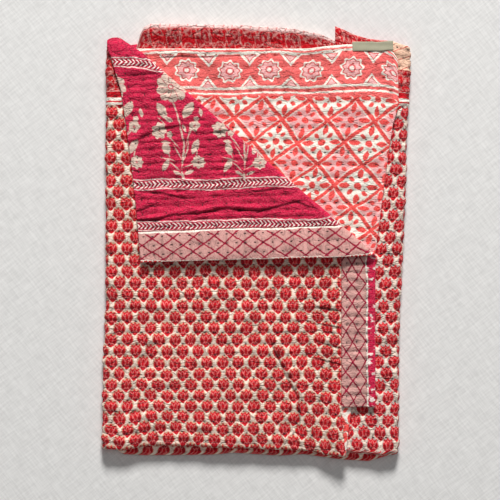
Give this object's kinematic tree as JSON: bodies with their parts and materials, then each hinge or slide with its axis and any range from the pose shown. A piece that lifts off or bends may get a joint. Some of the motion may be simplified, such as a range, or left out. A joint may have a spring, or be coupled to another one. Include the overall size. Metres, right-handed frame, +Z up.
{
  "type": "folded quilted bedspread",
  "caption": "Quilted printed cotton bedspread folded into a flat pile, one corner turned back to show the reverse, with a lattice border strip and a small sewn tab",
  "frame": {"origin": "centre of the bounding box's base, where the pile rests", "axes": "+Y along the pile's length, from the crosswise crease to the hems; +X across it, from the lengthwise fold at its left to the one at its right; +Z up, the way the turned-back corner faces"},
  "size_m": [0.4632, 0.6582, 0.0444],
  "materials": {
    "printed_cotton": "matte printed cotton, hand quilted",
    "lattice_cotton": "matte printed cotton strip",
    "label_tape": "matte woven tape"
  },
  "bodies": {
    "root": {"bedspread": "printed_cotton", "border_band": "lattice_cotton", "label_tab": "label_tape"}
  },
  "joints": []
}
